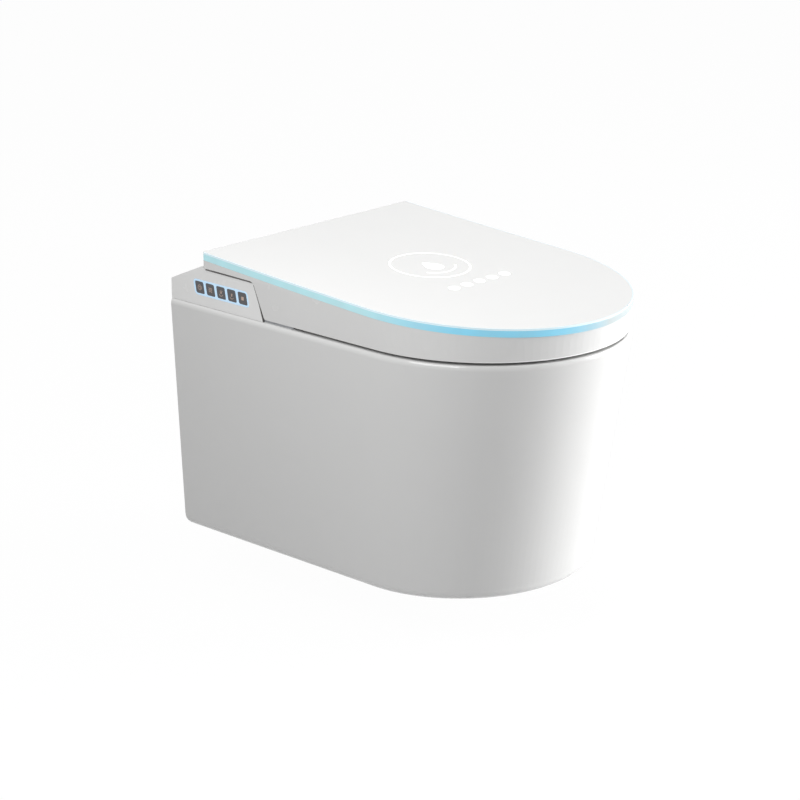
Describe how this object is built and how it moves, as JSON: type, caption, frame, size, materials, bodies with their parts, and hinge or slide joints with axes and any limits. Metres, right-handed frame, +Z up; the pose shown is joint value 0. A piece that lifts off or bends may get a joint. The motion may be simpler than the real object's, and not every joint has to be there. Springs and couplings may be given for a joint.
{
  "type": "wall-hung smart toilet",
  "caption": "Wall-hung ceramic pan with a heated seat, a soft-close lid with a lit edge, side buttons, sliding wash nozzles and a warm-air dryer.",
  "frame": {"origin": "on the wall plane, midway between the two fixing studs", "axes": "+Y into the wall, so the pan's front is at -Y; +Z up; +X to the right for a viewer in front of the pan who looks at the wall"},
  "size_m": [0.396, 0.59, 0.4059],
  "materials": {
    "glaze": "smooth white glaze",
    "shell": "white, semi-gloss",
    "panel": "white, high gloss",
    "light": "translucent blue, lit from inside",
    "button": "dark grey, gloss",
    "grey_plastic": "moulded grey",
    "dark_plastic": "moulded black",
    "ivory_plastic": "ivory, self-lubricating",
    "steel": "stainless, satin",
    "motor_can": "plated steel can",
    "brass": "machined",
    "rubber": "soft pale grey",
    "black_rubber": "black",
    "foil": "foil with a heating wire",
    "led": "flexible strip",
    "board": "green laminate",
    "mica": "mica plates with a wire",
    "carbon": "activated carbon in a frame",
    "tank": "moulded tank",
    "supply_case": "folded sheet case"
  },
  "bodies": {
    "pan": {"ceramic_pan": "glaze", "fixing_sleeves": "dark_plastic", "chassis": "grey_plastic", "chassis_bolts": "steel", "chassis_plugs": "black_rubber", "housing_cover": "shell", "button_frame": "light", "button_board": "board", "hinge_posts": "steel", "hinge_pins": "steel", "nozzle_guide": "grey_plastic", "nozzle_motors": "motor_can", "dryer_casing": "dark_plastic", "dryer_motor": "motor_can", "dryer_heater": "mica", "deodoriser_casing": "dark_plastic", "deodoriser_motor": "motor_can", "carbon_filter": "carbon", "heater_tank": "tank", "inlet_nipple": "brass", "solenoid_valve": "grey_plastic", "distributor_valve": "grey_plastic", "cold_hose": "black_rubber", "warm_hose": "black_rubber", "control_board": "board", "power_supply": "supply_case", "cable_gland": "dark_plastic"},
    "seat": {"seat_top": "shell", "seat_base": "shell", "seat_heater": "foil", "seat_bumpers": "rubber", "seat_damper": "dark_plastic", "seat_bush": "ivory_plastic"},
    "lid": {"lid_frame": "shell", "lid_inner_panel": "shell", "lid_light_guide": "light", "lid_led_strip": "led", "lid_top_panel": "panel", "lid_display_board": "board", "lid_bumpers": "rubber", "lid_damper": "dark_plastic", "lid_bush": "ivory_plastic"},
    "dryer_fan": {"dryer_impeller": "dark_plastic"},
    "deodoriser_fan": {"deodoriser_impeller": "dark_plastic"},
    "outlet_flap": {"dryer_flap": "shell"},
    "front_wash_button_body": {"front_wash_button": "button"},
    "rear_wash_button_body": {"rear_wash_button": "button"},
    "stop_button_body": {"stop_button": "button"},
    "dryer_button_body": {"dryer_button": "button"},
    "flush_button_body": {"flush_button": "button"},
    "rear_nozzle_body": {"rear_nozzle": "steel"},
    "front_nozzle_body": {"front_nozzle": "steel"},
    "rear_pinion_body": {"rear_pinion": "ivory_plastic"},
    "front_pinion_body": {"front_pinion": "ivory_plastic"}
  },
  "joints": [
    {"name": "seat_hinge", "type": "hinge", "parent": "pan", "child": "seat", "pos_m": [0, -0.076, 0.1435], "axis": [-1, 0, 0], "range_deg": [0, 95]},
    {"name": "lid_hinge", "type": "hinge", "parent": "seat", "child": "lid", "pos_m": [0, -0.076, 0.1435], "axis": [1, 0, 0], "range_deg": [-98, 0]},
    {"name": "front_wash_press", "type": "slide", "parent": "pan", "child": "front_wash_button_body", "axis": [1, 0, 0], "range_m": [0, 0.0012], "stiffness_N_per_m": 900},
    {"name": "rear_wash_press", "type": "slide", "parent": "pan", "child": "rear_wash_button_body", "axis": [1, 0, 0], "range_m": [0, 0.0012], "stiffness_N_per_m": 900},
    {"name": "stop_press", "type": "slide", "parent": "pan", "child": "stop_button_body", "axis": [1, 0, 0], "range_m": [0, 0.0012], "stiffness_N_per_m": 900},
    {"name": "dryer_press", "type": "slide", "parent": "pan", "child": "dryer_button_body", "axis": [1, 0, 0], "range_m": [0, 0.0012], "stiffness_N_per_m": 900},
    {"name": "flush_press", "type": "slide", "parent": "pan", "child": "flush_button_body", "axis": [1, 0, 0], "range_m": [0, 0.0012], "stiffness_N_per_m": 900},
    {"name": "rear_nozzle_slide", "type": "slide", "parent": "pan", "child": "rear_nozzle_body", "axis": [0, -0.9781, -0.2079], "range_m": [0, 0.075]},
    {"name": "front_nozzle_slide", "type": "slide", "parent": "pan", "child": "front_nozzle_body", "axis": [0, -0.9781, -0.2079], "range_m": [0, 0.085]},
    {"name": "rear_pinion_spin", "type": "hinge", "parent": "pan", "child": "rear_pinion_body", "pos_m": [-0.022, -0.13887, 0.10032], "axis": [0, -0.2079, 0.9781], "range_deg": [-769, 0]},
    {"name": "front_pinion_spin", "type": "hinge", "parent": "pan", "child": "front_pinion_body", "pos_m": [0.022, -0.13887, 0.10032], "axis": [0, -0.2079, 0.9781], "range_deg": [0, 871]},
    {"name": "dryer_fan_spin", "type": "hinge", "parent": "pan", "child": "dryer_fan", "pos_m": [0.062, -0.092, 0.095], "axis": [0, 0, 1], "continuous": true},
    {"name": "deodoriser_fan_spin", "type": "hinge", "parent": "pan", "child": "deodoriser_fan", "pos_m": [-0.064, -0.092, 0.095], "axis": [0, 0, 1], "continuous": true},
    {"name": "outlet_flap_hinge", "type": "hinge", "parent": "pan", "child": "outlet_flap", "pos_m": [0.079, -0.16668, 0.107], "axis": [-1, 0, 0], "range_deg": [0, 45]}
  ],
  "couplings": [
    {"joint": "rear_pinion_spin", "follows": "rear_nozzle_slide", "rad_per_m": -178.57},
    {"joint": "front_pinion_spin", "follows": "front_nozzle_slide", "rad_per_m": 178.57}
  ]
}
